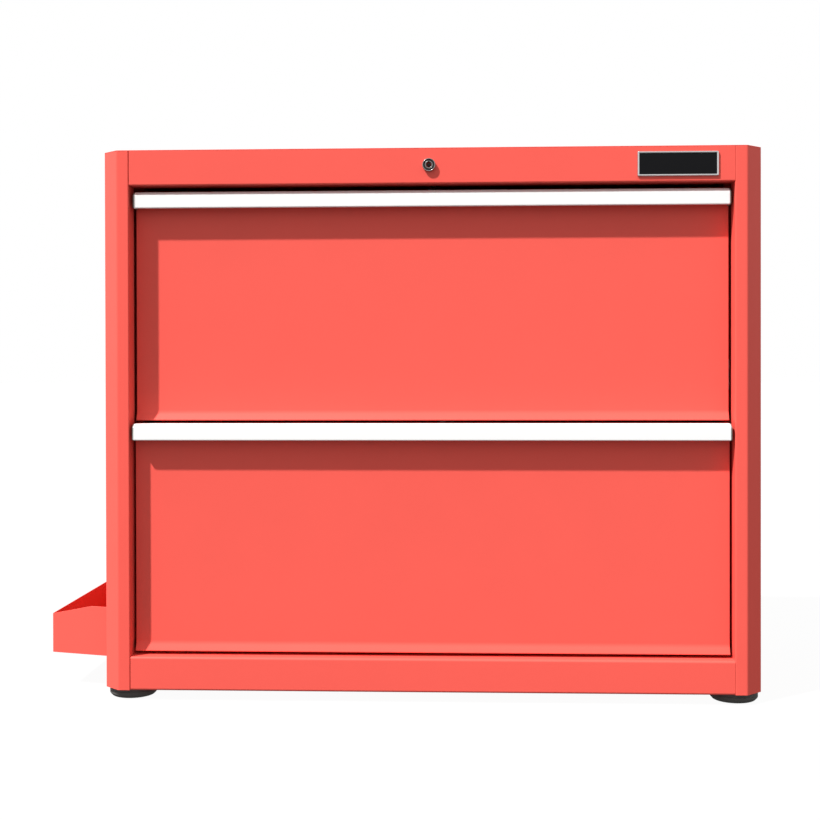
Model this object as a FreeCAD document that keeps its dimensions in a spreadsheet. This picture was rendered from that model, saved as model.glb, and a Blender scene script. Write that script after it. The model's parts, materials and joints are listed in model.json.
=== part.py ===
"""Two-drawer sheet steel tool cabinet with a key lock, four rubber feet and a side bin.

Frame: +Z up, the front faces -Y, X to the right, millimetres. The origin is the floor point
under the middle of the cabinet body. Folded sheets, rails and slides are profiles that are
padded; each piece reads its sizes from the sheet of driving dimensions.
"""
import FreeCAD, Part
import os
import re
import Sketcher

Vector = FreeCAD.Vector
Rotation = FreeCAD.Rotation
doc = FreeCAD.newDocument("ToolCabinet")

# Driving dimensions: name, millimetres, meaning
driving_dimensions = (
    ("body_width", 910, "outside width of the cabinet body"),
    ("body_depth", 480, "outside depth of the cabinet body"),
    ("body_height", 748, "height of the body without its feet"),
    ("wall", 1.2, "sheet thickness of the body"),
    ("bend_radius", 3, "inside radius of the visible folds"),
    ("post_width", 39, "front post with its slanted corner, seen from the front"),
    ("chamfer", 21, "slanted corner of a post, across and back"),
    ("post_return", 30, "inner flank of a post, front to back"),
    ("back_flange", 18, "rear flange of a side panel"),
    ("rail_height", 48, "front rails, top and bottom"),
    ("seam", 0.4, "joint between a rail end and its post"),
    ("foot_height", 15, "rubber foot"),
    ("foot_radius", 33, "rubber foot"),
    ("foot_side_inset", 33, "foot centre from the side of the body"),
    ("foot_end_inset", 44, "foot centre from the front or the back"),
    ("foot_top_radius", 30, "top of the rubber foot"),
    ("bolt_radius", 5, "shank of a foot bolt"),
    ("bolt_length", 18, "shank of a foot bolt"),
    ("bolt_head_radius", 9, "foot bolt head, across its corners, halved"),
    ("bolt_head_height", 5.5, "foot bolt head"),
    ("bolt_clearance", 0.3, "round a foot bolt and its head"),
    ("foot_nut_height", 8, "nut of a foot bolt"),
    ("foot_sole", 1.5, "how far a foot bolt head is sunk"),
    ("upright_width", 40, "channel that carries the slides"),
    ("upright_wall", 1.5, "channel that carries the slides"),
    ("front_nut_gap", 31, "front channel behind the foot nuts"),
    ("rear_nut_gap", 3, "rear channel ahead of the foot nuts"),
    ("slide_front", 45, "slide end behind the front plane"),
    ("slide_back_gap", 35, "slide end ahead of the back plane"),
    ("slide_step", 15, "member on the drawer, shorter than the others"),
    ("slide_thickness", 12.7, "slide, all three members"),
    ("slide_wall", 1.2, "steel of the slide members"),
    ("slide_height", 45, "member on the cabinet"),
    ("slide_lip", 9.5, "lips of the member on the cabinet"),
    ("outer_ball_room", 2.7, "cabinet member to middle member, for the balls"),
    ("middle_gap", 3.2, "middle member from the cabinet side"),
    ("middle_lip", 7.8, "lips of the middle member"),
    ("inner_ball_room", 3, "middle member to drawer member, for the balls"),
    ("inner_lip", 7.1, "lips of the member on the drawer"),
    ("slide_level", 62, "slide axis above the underside of a front"),
    ("cage_length", 160, "ball cage"),
    ("cage_start", 100, "ball cage behind the slide end"),
    ("cage_width", 4.4, "ball cage strip"),
    ("cage_clearance", 0.3, "round a ball cage strip"),
    ("screw_radius", 2.2, "screws of the cabinet members"),
    ("screw_head_radius", 4.2, "screws of the cabinet members"),
    ("screw_head_height", 1.4, "screws of the cabinet members"),
    ("screw_tail", 2, "screw past its last sheet"),
    ("rivet_radius", 1.6, "rivets of the drawer members"),
    ("rivet_head_radius", 3.2, "rivets of the drawer members"),
    ("rivet_head_height", 1.2, "rivets of the drawer members"),
    ("rivet_tail", 1.6, "rivet past its last sheet"),
    ("hole_clearance", 0.1, "hole round a screw or rivet, on the radius"),
    ("front_side_gap", 3, "drawer front to the posts"),
    ("front_wall", 1.2, "sheet of the drawer front"),
    ("front_gap", 4, "bottom rail to the lower front"),
    ("drawer_gap", 4.5, "lower handle to the upper front"),
    ("top_gap", 8.5, "upper handle to the top rail"),
    ("panel_recess", 27.5, "upper front panel behind the post faces"),
    ("lower_rest_out", 8, "how far the lower drawer stands out at rest"),
    ("front_flange", 14, "top flange of the drawer front"),
    ("side_flange", 11, "side flanges of the drawer front"),
    ("lip_height", 11, "slanted lip along the foot of the front"),
    ("lip_reach", 5.5, "how far that lip stands forward"),
    ("lip_return", 10, "flange behind the lip"),
    ("box_drop", 35.5, "mouth of the box below the top of its front"),
    ("box_wall", 1, "sheet of the drawer box"),
    ("box_lift", 12, "box above the underside of its front"),
    ("box_hem", 9, "tight hem folded inwards round the box mouth"),
    ("stud_spread", 330, "outer front studs from the middle"),
    ("stud_low", 50, "lower row of front studs above the box floor"),
    ("stud_drop", 55, "upper row of front studs below the mouth of the box"),
    ("stud_radius", 2.5, "stud that carries the drawer front"),
    ("stud_length", 6, "stud that carries the drawer front"),
    ("stud_nut_radius", 4.6, "nut on that stud, across its corners, halved"),
    ("stud_nut_height", 3.2, "nut on that stud"),
    ("handle_height", 23, "handle strip"),
    ("handle_face", 17, "upright face of the handle"),
    ("handle_depth", 19.5, "handle, face to panel"),
    ("handle_slope", 9.5, "slope from the face to the top"),
    ("handle_wall", 2, "extrusion wall"),
    ("handle_web", 12, "rear web of the handle"),
    ("handle_curl", 4.5, "grip curl under the handle"),
    ("handle_round", 1.6, "rounded edges of the handle"),
    ("handle_curl_round", 0.9, "rounded edges of the grip curl"),
    ("cap_thickness", 2.5, "handle end cap"),
    ("catch_width", 40, "lock catch on a drawer"),
    ("catch_wall", 2, "lock catch"),
    ("catch_reach", 19.5, "lock catch behind the drawer box"),
    ("catch_lip", 22, "upright lip of the catch"),
    ("catch_foot", 20, "part of the catch on the box"),
    ("catch_drop", 32, "shelf of the catch below the mouth of the box"),
    ("catch_round", 0.9, "rounded top of the catch lip"),
    ("lock_across", 0, "lock from the middle of the rail"),
    ("lock_head_radius", 9, "visible head of the lock"),
    ("lock_head_height", 5, "visible head of the lock"),
    ("lock_body_radius", 8, "threaded lock body"),
    ("lock_body_length", 22, "threaded lock body"),
    ("lock_nut_radius", 12, "lock nut across its corners, halved"),
    ("lock_nut_height", 4, "lock nut"),
    ("plug_radius", 5.5, "turning plug of the lock"),
    ("plug_clearance", 0.05, "running clearance of plug and shaft"),
    ("plug_length", 26, "plug behind the rail face"),
    ("plug_sunk", 0.5, "plug face behind the lock head"),
    ("keyway_radius", 4, "round keyway, outside"),
    ("keyway_pin", 2.4, "centre pin of the keyway"),
    ("keyway_depth", 6, "round keyway"),
    ("keyway_notch", 1.6, "index notch of the keyway"),
    ("shaft_radius", 4, "lock shaft to the back"),
    ("crank_radius", 15, "crank arm, axis to pin"),
    ("crank_width", 8, "crank arm"),
    ("crank_plate", 3, "crank arm"),
    ("crank_hub_radius", 6, "crank hub"),
    ("crank_pin_radius", 3, "crank pin"),
    ("crank_rest_angle", 45, "crank above the level, unlocked, degrees"),
    ("pin_play", 0.9, "crank pin in its slot"),
    ("bar_gap", 2, "crank to lock bar"),
    ("bar_width", 30, "lock bar"),
    ("bar_wall", 3, "lock bar"),
    ("bar_crown", 5, "lock bar above its slot"),
    ("bar_tail", 70, "lock bar below its lower arm"),
    ("tooth_width", 24, "teeth of the lock bar"),
    ("tooth_wall", 3, "teeth of the lock bar"),
    ("tooth_height", 22, "teeth of the lock bar"),
    ("tooth_lift", 2, "tooth above the catch, unlocked"),
    ("tooth_play", 3, "tooth ahead of the catch lip"),
    ("bar_back_gap", 11.4, "lock bar to the back panel"),
    ("guide_height", 16, "guide of the lock bar"),
    ("guide_side", 8, "guide beside the lock bar"),
    ("guide_face", 2.5, "guide ahead of the lock bar"),
    ("guide_play", 0.4, "lock bar in its guide"),
    ("lower_guide_drop", 32, "lower guide below the lower arm"),
    ("upper_guide_drop", 30, "upper guide below the lock axis"),
    ("bracket_width", 32, "shaft bracket under the top"),
    ("bracket_wall", 3, "shaft bracket under the top"),
    ("bracket_flange", 20, "shaft bracket under the top"),
    ("bracket_drop", 11, "shaft bracket below the lock axis"),
    ("bracket_setback", 24, "shaft bracket ahead of the crank"),
    ("badge_inset", 76, "middle of the badge from the right post"),
    ("badge_width", 110, "badge frame"),
    ("badge_height", 34, "badge frame"),
    ("badge_border", 3, "badge frame"),
    ("badge_thickness", 2.6, "badge frame"),
    ("badge_plate_thickness", 1.6, "field of the badge"),
    ("badge_corner", 1.5, "badge corners"),
    ("bin_width", 97, "side bin, out from the body"),
    ("bin_length", 350, "side bin along the body"),
    ("bin_front", 57, "side bin behind the front plane"),
    ("bin_slant", 27, "how far the bin ends slant"),
    ("bin_level", 34, "side bin above the body's underside"),
    ("bin_outer_height", 56, "outer wall of the bin"),
    ("bin_height", 70, "bin at the body"),
    ("bin_slope_run", 54, "sloping part of the bin ends"),
    ("bin_wall", 1, "sheet of the bin"),
    ("bin_screw_level", 50, "bin screws above the bin floor"),
    ("bin_screw_inset", 60, "bin screws from the bin ends"),
    ("bin_screw_radius", 2.5, "bin screws"),
    ("bin_screw_head_radius", 5, "bin screws"),
    ("bin_screw_head_height", 2.4, "bin screws"),
    ("bin_screw_nut_height", 4, "nuts of the bin screws"),
)

sheet = doc.addObject("Spreadsheet::Sheet", "Sizes")
for row, (name, size, meaning) in enumerate(driving_dimensions, 1):
    sheet.set(f"A{row}", meaning)
    sheet.set(f"B{row}", str(size))
    sheet.setAlias(f"B{row}", name)
doc.recompute()
names_in_sheet = {name for name, size, meaning in driving_dimensions}

# Sizes that follow from the driving dimensions, so that the pieces keep together
drawer_names = ("lower", "upper")
fitted_sizes = {
    "rail_depth": "post_return",
    "front_upright": "foot_end_inset + bolt_head_radius + front_nut_gap",
    "rear_upright": "foot_end_inset + bolt_head_radius + rear_nut_gap + upright_width",
    "slide_length": "body_depth - slide_front - slide_back_gap",
    "drawer_slide_length": "slide_length - slide_step",
    "middle_height": "slide_height - 2*(slide_wall + outer_ball_room)",
    "inner_height": "middle_height - 2*(slide_wall + inner_ball_room)",
    "front_width": "body_width - 2*(post_width + front_side_gap)",
    "front_room": "body_height - 2*rail_height - front_gap - drawer_gap - top_gap",
    "front_height": f"front_room/{len(drawer_names)}",
    "drawer_pitch": "front_height + drawer_gap",
    "lock_room": "catch_reach + crank_plate + bar_gap + bar_wall + bar_back_gap",
    "box_depth": "body_depth - 2*wall - panel_recess - front_wall - lock_room",
    "box_height": "front_height - box_lift - box_drop",
    "stud_high": "box_height - stud_drop",
    "catch_level": "box_height - catch_drop",
    "badge_across": "body_width/2 - post_width - badge_inset",
}

# Places that several pieces share, as formulas in the names of the sheet
side = "body_width/2"
front = "(-body_depth/2)"
back = "(body_depth/2)"
base = "foot_height"
crown = "(foot_height + body_height)"
opening = "(body_width/2 - post_width)"
fold = "(bend_radius + wall)"
mitre = "wall*tan(22.5 deg)"
rail_half = f"({opening} - seam)"
front_foot = f"({front} + foot_end_inset)"
rear_foot = f"({back} - foot_end_inset)"
front_channel = f"({front} + front_upright)"
rear_channel = f"({back} - rear_upright)"
lock_level = f"({crown} - rail_height/2)"
box_half = f"({opening} - slide_thickness)"
crank_rise = "crank_radius*sin(crank_rest_angle*1 deg)"
crank_back = f"({front} + panel_recess + front_wall + box_depth + catch_reach + crank_plate)"
bar_front = f"({crank_back} + bar_gap)"
bar_across = "(lock_across + crank_radius*(1 + cos(crank_rest_angle*1 deg))/2)"
back_inside = f"({back} - 2*wall)"
bin_floor = f"({base} + bin_level)"
bin_screw_line = f"({bin_floor} + bin_screw_level)"
bin_screw_places = (
    f"({front} + bin_front + bin_screw_inset)",
    f"({front} + bin_front + bin_length - bin_screw_inset)",
)
drawer_out = ("lower_rest_out", "0")
hands = (("left", -1), ("right", 1))


def drawer_base(level):
    """Underside of a drawer front."""
    return f"({base} + rail_height + front_gap + {level}*drawer_pitch)"


def panel_face(level):
    """Front face of a drawer front's panel."""
    return f"({front} + panel_recess - {drawer_out[level]})"


def box_back(level):
    """Rear face of a drawer box."""
    return f"({panel_face(level)} + front_wall + box_depth)"


def catch_shelf(level):
    """Underside of the shelf of a drawer's lock catch."""
    return f"({drawer_base(level)} + box_lift + catch_level)"


def formula(text):
    """The text as an expression reads it: fitted sizes written out, the sheet's names with its own."""

    def written_out(match):
        word = match[0]
        if word in fitted_sizes:
            return f"({formula(fitted_sizes[word])})"
        return "Sizes." + word if word in names_in_sheet else word

    return re.sub(r"[a-z_]+", written_out, str(text))


def value(text):
    """The number that a formula gives."""
    return float(sheet.evalExpression(formula(text)))


def bind(thing, **formulas):
    """Tie properties of an object to formulas."""
    for prop, text in formulas.items():
        thing.setExpression(prop, formula(text))


def place(thing, x="0", y="0", z="0"):
    """Tie the position of an object to formulas."""
    for axis, text in zip("xyz", (x, y, z)):
        thing.setExpression("Placement.Base." + axis, formula(text))


# PartDesign bodies from sketches
def new_body(label):
    """An empty body with the label of its piece."""
    body = doc.addObject("PartDesign::Body", label)
    body.Label = label
    return body


def new_sketch(body, plane, offset="0"):
    """A sketch on one of the body's own origin planes, moved along that plane's normal."""
    sketch = body.newObject("Sketcher::SketchObject", body.Label + "_sketch")
    support = next(f for f in body.Origin.OriginFeatures if f.Role == plane)
    sketch.AttachmentSupport = [(support, "")]
    sketch.MapMode = "FlatFace"
    sketch.setExpression("AttachmentOffset.Base.z", formula(offset))
    return sketch


def draw_outline(sketch, corners):
    """A closed outline of straight lines; each corner is held by its two distances."""
    first = sketch.GeometryCount
    spots = [Vector(value(across), value(up), 0) for across, up in corners]
    count = len(spots)
    for n in range(count):
        sketch.addGeometry(Part.LineSegment(spots[n], spots[(n + 1) % count]), False)
    for n in range(count):
        sketch.addConstraint(
            Sketcher.Constraint("Coincident", first + n, 2, first + (n + 1) % count, 1)
        )
    for n, texts in enumerate(corners):
        for kind, text in zip(("DistanceX", "DistanceY"), texts):
            held = Sketcher.Constraint(kind, -1, 1, first + n, 1, value(text))
            name = f"{kind}_{first + n}"
            sketch.renameConstraint(sketch.addConstraint(held), name)
            sketch.setExpression("Constraints." + name, formula(text))


def draw_circle(sketch, across, up, radius):
    """A circle held by its centre and its radius."""
    centre = Vector(value(across), value(up), 0)
    circle = Part.Circle(centre, Vector(0, 0, 1), value(radius))
    index = sketch.addGeometry(circle, False)
    for kind, text in (("DistanceX", across), ("DistanceY", up)):
        held = Sketcher.Constraint(kind, -1, 1, index, 3, value(text))
        name = f"{kind}_{index}"
        sketch.renameConstraint(sketch.addConstraint(held), name)
        sketch.setExpression("Constraints." + name, formula(text))
    held = Sketcher.Constraint("Radius", index, value(radius))
    name = f"Radius_{index}"
    sketch.renameConstraint(sketch.addConstraint(held), name)
    sketch.setExpression("Constraints." + name, formula(radius))


def draw_rectangle(sketch, low, high):
    """A rectangle between two opposite corners."""
    draw_outline(sketch, (low, (high[0], low[1]), high, (low[0], high[1])))


def pad(body, sketch, length, away=False):
    """Material from the sketch along its normal, or against it."""
    feature = body.newObject("PartDesign::Pad", body.Label + "_pad")
    feature.Profile = sketch
    feature.Reversed = away
    bind(feature, Length=length)
    doc.recompute()
    return feature


def pocket(body, sketch, depth, away=False):
    """A cut from the sketch against its normal, or along it; it has to remove material."""
    before = body.Shape.Volume
    feature = body.newObject("PartDesign::Pocket", body.Label + "_pocket")
    feature.Profile = sketch
    feature.Reversed = away
    bind(feature, Length=depth)
    doc.recompute()
    if not body.Shape.Volume < before:
        raise ValueError(f"a pocket in {body.Label} cuts nothing")
    return feature


def revolve(body, sketch):
    """A full turn of the sketch about its upright axis."""
    feature = body.newObject("PartDesign::Revolution", body.Label + "_turn")
    feature.Profile = sketch
    feature.ReferenceAxis = (sketch, ["V_Axis"])
    feature.Angle = 360
    doc.recompute()
    return feature


def round_folds(body, along, corners, radius):
    """Round the straight edges that run along an axis through the given corners of the profile."""
    base_feature = body.Tip
    others = [n for n in range(3) if n != "XYZ".index(along)]
    spots = [(value(a), value(b)) for a, b in corners]
    near = 0.001
    chosen = []
    for n, edge in enumerate(base_feature.Shape.Edges, 1):
        ends = [edge.Vertexes[0].Point, edge.Vertexes[-1].Point]
        for a, b in spots:
            if all(abs(p[others[0]] - a) < near and abs(p[others[1]] - b) < near for p in ends):
                chosen.append(f"Edge{n}")
    if len(chosen) < len(spots):
        raise ValueError(f"a fold of {body.Label} isn't where it should be")
    feature = body.newObject("PartDesign::Fillet", body.Label + "_fold")
    feature.Base = (base_feature, chosen)
    bind(feature, Radius=radius)
    doc.recompute()


# Part primitives and booleans
def block(name, low, size):
    """A rectangular block from its lowest corner."""
    thing = doc.addObject("Part::Box", name)
    bind(thing, Length=size[0], Width=size[1], Height=size[2])
    place(thing, *low)
    return thing


def round_bar(name, foot, radius, length, axis="Z"):
    """A cylinder that starts at foot and runs along an axis."""
    thing = doc.addObject("Part::Cylinder", name)
    thing.Placement.Rotation = {
        "X": Rotation(Vector(0, 1, 0), 90),
        "Y": Rotation(Vector(1, 0, 0), -90),
        "Z": Rotation(),
    }[axis]
    bind(thing, Radius=radius, Height=length)
    place(thing, *foot)
    return thing


def hexagon(name, foot, radius, length, axis="Z"):
    """A six-sided prism that starts at foot and runs along an axis."""
    thing = doc.addObject("Part::Prism", name)
    thing.Polygon = 6
    thing.Placement.Rotation = {
        "X": Rotation(Vector(0, 1, 0), 90),
        "Y": Rotation(Vector(1, 0, 0), -90),
        "Z": Rotation(),
    }[axis]
    bind(thing, Circumradius=radius, Height=length)
    place(thing, *foot)
    return thing


def joined(label, things):
    """Several bodies as one solid."""
    thing = doc.addObject("Part::MultiFuse", label)
    thing.Shapes = things
    thing.Refine = True
    return thing


def cut_away(label, stock, tools):
    """The stock without the tools."""
    thing = doc.addObject("Part::Cut", label)
    thing.Base = stock
    thing.Tool = tools[0] if len(tools) == 1 else joined(label + "_tools", tools)
    return thing


def group(label, things):
    """Identical pieces in one node, each a separate solid."""
    thing = doc.addObject("Part::Compound", label)
    thing.Links = things
    return thing


pieces = []


def keep(piece, label=None):
    """List a finished piece under the label that its node has."""
    if label:
        piece.Label = label
    pieces.append(piece)
    return piece


# Body panels: each side is one sheet, folded at the back flange, the slanted corner and the post
def make_side_panel(name, hand):
    """Plan outline of the folded sheet, padded over the height of the body."""
    outer = [
        (f"{side} - back_flange", back),
        (side, back),
        (side, f"{front} + chamfer"),
        (f"{side} - chamfer", front),
        (f"{side} - post_width", front),
        (f"{side} - post_width", f"{front} + post_return"),
    ]
    inner = [
        (f"{side} - post_width + wall", f"{front} + post_return"),
        (f"{side} - post_width + wall", f"{front} + wall"),
        (f"{side} - chamfer - {mitre}", f"{front} + wall"),
        (f"{side} - wall", f"{front} + chamfer + {mitre}"),
        (f"{side} - wall", f"{back} - wall"),
        (f"{side} - back_flange", f"{back} - wall"),
    ]
    outer = [(f"{hand}*({x})", y) for x, y in outer]
    inner = [(f"{hand}*({x})", y) for x, y in inner]
    body = new_body(f"{name}_side_panel")
    sketch = new_sketch(body, "XY_Plane", base)
    draw_outline(sketch, outer + inner)
    pad(body, sketch, "body_height - wall")
    round_folds(body, "Z", outer[2:5], fold)
    round_folds(body, "Z", inner[1:4], "bend_radius")
    round_folds(body, "Z", outer[1:2], "wall")
    if name == "left":
        holes = new_sketch(body, "YZ_Plane", f"-{side} - wall")
        for y in bin_screw_places:
            draw_circle(holes, y, bin_screw_line, "bin_screw_radius + hole_clearance")
        pocket(body, holes, "3*wall", away=True)
    keep(body)


for name, hand in hands:
    make_side_panel(name, hand)


# The top closes the body flush with the outline of the side panels
top_outline = [
    (f"-{side}", back),
    (side, back),
    (side, f"{front} + chamfer"),
    (f"{side} - chamfer", front),
    (f"-{side} + chamfer", front),
    (f"-{side}", f"{front} + chamfer"),
]
body = new_body("top_panel")
sketch = new_sketch(body, "XY_Plane", f"{crown} - wall")
draw_outline(sketch, top_outline)
pad(body, sketch, "wall")
round_folds(body, "Z", top_outline[2:], fold)
keep(body)

# The bottom lies between the side panels, behind the posts and the bottom rail
foot_places = [
    (f"{hand}*({side} - foot_side_inset)", y) for name, hand in hands for y in (front_foot, rear_foot)
]
stock = block(
    "bottom_sheet",
    (f"-{side} + wall", f"{front} + post_return", base),
    ("body_width - 2*wall", "body_depth - post_return - 2*wall", "wall"),
)
holes = [
    round_bar(f"foot_hole_{n}", (x, y, f"{base} - wall"), "bolt_radius + bolt_clearance", "3*wall")
    for n, (x, y) in enumerate(foot_places, 1)
]
keep(cut_away("bottom_panel", stock, holes))

# The back is spot-welded inside the rear flanges
keep(
    block(
        "back_panel",
        (f"-{side} + wall", back_inside, base),
        ("body_width - 2*wall", "wall", "body_height - wall"),
    )
)


# Front rails: channels between the posts, open to the back
def make_rail(label, near_opening, far_edge, inwards):
    """The channel's section, padded from post to post. Inwards is the sense of Z into the section."""
    section = [
        (f"{front} + rail_depth", near_opening),
        (front, near_opening),
        (front, far_edge),
        (f"{front} + rail_depth", far_edge),
        (f"{front} + rail_depth", f"{far_edge} - {inwards}*wall"),
        (f"{front} + wall", f"{far_edge} - {inwards}*wall"),
        (f"{front} + wall", f"{near_opening} + {inwards}*wall"),
        (f"{front} + rail_depth", f"{near_opening} + {inwards}*wall"),
    ]
    body = new_body(label)
    sketch = new_sketch(body, "YZ_Plane", f"-{rail_half}")
    draw_outline(sketch, section)
    pad(body, sketch, f"2*{rail_half}")
    round_folds(body, "X", section[1:2], fold)
    round_folds(body, "X", section[6:7], "bend_radius")
    return body, section


rail, section = make_rail("top_rail", f"({crown} - rail_height)", f"({crown} - wall)", 1)
sketch = new_sketch(rail, "XZ_Plane", f"-{front} + wall")
draw_circle(sketch, "lock_across", lock_level, "lock_body_radius + hole_clearance")
pocket(rail, sketch, "3*wall")
keep(rail)

rail, section = make_rail("bottom_rail", f"({base} + rail_height)", base, -1)
round_folds(rail, "X", section[2:3], fold)
round_folds(rail, "X", section[5:6], "bend_radius")
keep(rail)


# Channels inside the side panels carry the slides level with the opening
def make_uprights(name, hand):
    """Two upright channels with screw holes at both slide levels."""
    channels = []
    for where, start in (("front", front_channel), ("rear", rear_channel)):
        outline = [
            (opening, start),
            (opening, f"{start} + upright_width"),
            (f"{side} - wall", f"{start} + upright_width"),
            (f"{side} - wall", f"{start} + upright_width - upright_wall"),
            (f"{opening} + upright_wall", f"{start} + upright_width - upright_wall"),
            (f"{opening} + upright_wall", f"{start} + upright_wall"),
            (f"{side} - wall", f"{start} + upright_wall"),
            (f"{side} - wall", start),
        ]
        outline = [(f"{hand}*({x})", y) for x, y in outline]
        body = new_body(f"{name}_{where}_upright")
        sketch = new_sketch(body, "XY_Plane", f"{base} + wall")
        draw_outline(sketch, outline)
        pad(body, sketch, "body_height - 2*wall")
        round_folds(body, "Z", outline[:2], "upright_wall")
        holes = new_sketch(body, "YZ_Plane", f"{hand}*({opening} - upright_wall)")
        for level in range(len(drawer_names)):
            draw_circle(
                holes,
                f"{start} + upright_width/2",
                f"{drawer_base(level)} + slide_level",
                "screw_radius + hole_clearance",
            )
        pocket(body, holes, "3*upright_wall", away=hand > 0)
        channels.append(body)
    keep(group(f"{name}_uprights", channels))


for name, hand in hands:
    make_uprights(name, hand)


# Slides: three nested channels on each side of a drawer, lips turned towards each other
def make_slide_member(label, hand, level, web, lip, height, length, out, turned):
    """A channel section with its web at web, measured from the upright, and its lips turned back or on."""
    tip = f"({web} + {turned}*({lip}))"
    inside = f"({web} + {turned}*slide_wall)"
    section = [
        (web, f"-{height}/2"),
        (tip, f"-{height}/2"),
        (tip, f"-{height}/2 + slide_wall"),
        (inside, f"-{height}/2 + slide_wall"),
        (inside, f"{height}/2 - slide_wall"),
        (tip, f"{height}/2 - slide_wall"),
        (tip, f"{height}/2"),
        (web, f"{height}/2"),
    ]
    body = new_body(label)
    place(
        body,
        f"{hand}*{opening}",
        f"{front} + slide_front - {out}",
        f"{drawer_base(level)} + slide_level",
    )
    sketch = new_sketch(body, "XZ_Plane")
    draw_outline(sketch, [(f"{-hand}*({across})", up) for across, up in section])
    pad(body, sketch, length, away=True)
    return body


def drill_slide(body, hand, web, places, radius):
    """Holes through the web of a slide member, at places along it."""
    holes = new_sketch(body, "YZ_Plane", f"{-hand}*({web} - slide_wall)")
    for y in places:
        draw_circle(holes, y, "0", f"{radius} + hole_clearance")
    pocket(body, holes, "3*slide_wall", away=hand < 0)


upright_holes = [
    f"({start} + upright_width/2 - {front} - slide_front)" for start in (front_channel, rear_channel)
]
rivet_places = ("cage_start/2", "drawer_slide_length - cage_start/2")
for level, drawer in enumerate(drawer_names):
    for name, hand in hands:
        member = make_slide_member(
            f"{drawer}_{name}_cabinet_slide",
            hand,
            level,
            "0",
            "slide_lip",
            "slide_height",
            "slide_length",
            "0",
            1,
        )
        drill_slide(member, hand, "0", upright_holes, "screw_radius")
        keep(member)
        keep(
            make_slide_member(
                f"{drawer}_{name}_middle_slide",
                hand,
                level,
                "middle_gap",
                "middle_lip",
                "middle_height",
                "slide_length",
                f"{drawer_out[level]}/2",
                1,
            )
        )
        member = make_slide_member(
            f"{drawer}_{name}_drawer_slide",
            hand,
            level,
            "slide_thickness",
            "inner_lip",
            "inner_height",
            "drawer_slide_length",
            drawer_out[level],
            -1,
        )
        drill_slide(member, hand, "slide_thickness", rivet_places, "rivet_radius")
        keep(member)


# Ball cages: strips that run between the lips of two neighbouring members
def make_cages(label, level, low, high, across, out):
    """Four strips, above and below, left and right, between the heights low and high."""
    strips = []
    for name, hand in hands:
        for up in (-1, 1):
            strip = block(
                f"{label}_{name}_{'over' if up > 0 else 'under'}",
                (
                    f"{hand}*({opening} - {across} - cage_width/2) - cage_width/2",
                    f"{front} + slide_front + cage_start - {out}",
                    f"{drawer_base(level)} + slide_level + {up}*({low} + {high})/2 - ({high} - {low})/2",
                ),
                ("cage_width", "cage_length", f"{high} - {low}"),
            )
            strips.append(strip)
    keep(group(label, strips))


for level, drawer in enumerate(drawer_names):
    make_cages(
        f"{drawer}_outer_ball_cages",
        level,
        "(middle_height/2 + cage_clearance)",
        "(slide_height/2 - slide_wall - cage_clearance)",
        "(middle_gap + slide_wall + cage_clearance)",
        f"{drawer_out[level]}/4",
    )
    make_cages(
        f"{drawer}_inner_ball_cages",
        level,
        "(inner_height/2 + cage_clearance)",
        "(middle_height/2 - slide_wall - cage_clearance)",
        "(slide_thickness - inner_lip + cage_clearance)",
        f"{drawer_out[level]}*3/4",
    )

# Pan-head screws hold the cabinet members on the uprights, heads inside the members
screws = []
for level, drawer in enumerate(drawer_names):
    for name, hand in hands:
        for where, start in (("front", front_channel), ("rear", rear_channel)):
            label = f"slide_screw_{drawer}_{name}_{where}"
            y = f"{start} + upright_width/2"
            z = f"{drawer_base(level)} + slide_level"
            inner_end = f"({opening} - slide_wall - screw_head_height)"
            outer_end = f"({opening} + upright_wall + screw_tail)"
            head_end = f"({opening} - slide_wall)"
            low = inner_end if hand > 0 else f"-{outer_end}"
            head_low = inner_end if hand > 0 else f"-{head_end}"
            length = f"{outer_end} - {inner_end}"
            shank = round_bar(label + "_shank", (low, y, z), "screw_radius", length, "X")
            head = round_bar(label + "_head", (head_low, y, z), "screw_head_radius", "screw_head_height", "X")
            screws.append(joined(label, [head, shank]))
keep(group("slide_screws", screws))


# Drawers: a box, a folded front, a handle strip with its end caps, a catch and the fasteners
def make_drawer_box(drawer, level):
    """A tray with a hem folded tight inwards, and holes for the front studs and the slide rivets."""
    label = f"{drawer}_drawer_box"
    width = f"2*{box_half}"
    floor = f"({drawer_base(level)} + box_lift)"
    face = f"({panel_face(level)} + front_wall)"
    stock = block(label + "_stock", (f"-{box_half}", face, floor), (width, "box_depth", "box_height"))
    cavity = block(
        label + "_cavity",
        (f"-{box_half} + box_wall", f"{face} + box_wall", f"{floor} + box_wall"),
        (f"{width} - 2*box_wall", "box_depth - 2*box_wall", "box_height - box_wall - box_hem"),
    )
    mouth = block(
        label + "_mouth",
        (f"-{box_half} + 2*box_wall", f"{face} + 2*box_wall", f"{floor} + box_height/2"),
        (f"{width} - 4*box_wall", "box_depth - 4*box_wall", "box_height"),
    )
    holes = []
    for n, (x, z) in enumerate(stud_places(level), 1):
        hole = round_bar(
            f"{label}_stud_hole_{n}",
            (x, f"{face} - box_wall", z),
            "stud_radius + hole_clearance",
            "3*box_wall",
            "Y",
        )
        holes.append(hole)
    for n, (hand, y) in enumerate(rivet_lines(level), 1):
        hole = round_bar(
            f"{label}_rivet_hole_{n}",
            (f"{hand}*{box_half} - 1.5*box_wall", y, f"{drawer_base(level)} + slide_level"),
            "rivet_radius + hole_clearance",
            "3*box_wall",
            "X",
        )
        holes.append(hole)
    keep(cut_away(label, stock, [cavity, mouth] + holes))


def stud_places(level):
    """Two rows of three studs behind a drawer front."""
    floor = f"({drawer_base(level)} + box_lift)"
    return [
        (f"{n}*stud_spread", f"{floor} + {row}") for n in (-1, 0, 1) for row in ("stud_low", "stud_high")
    ]


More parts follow.
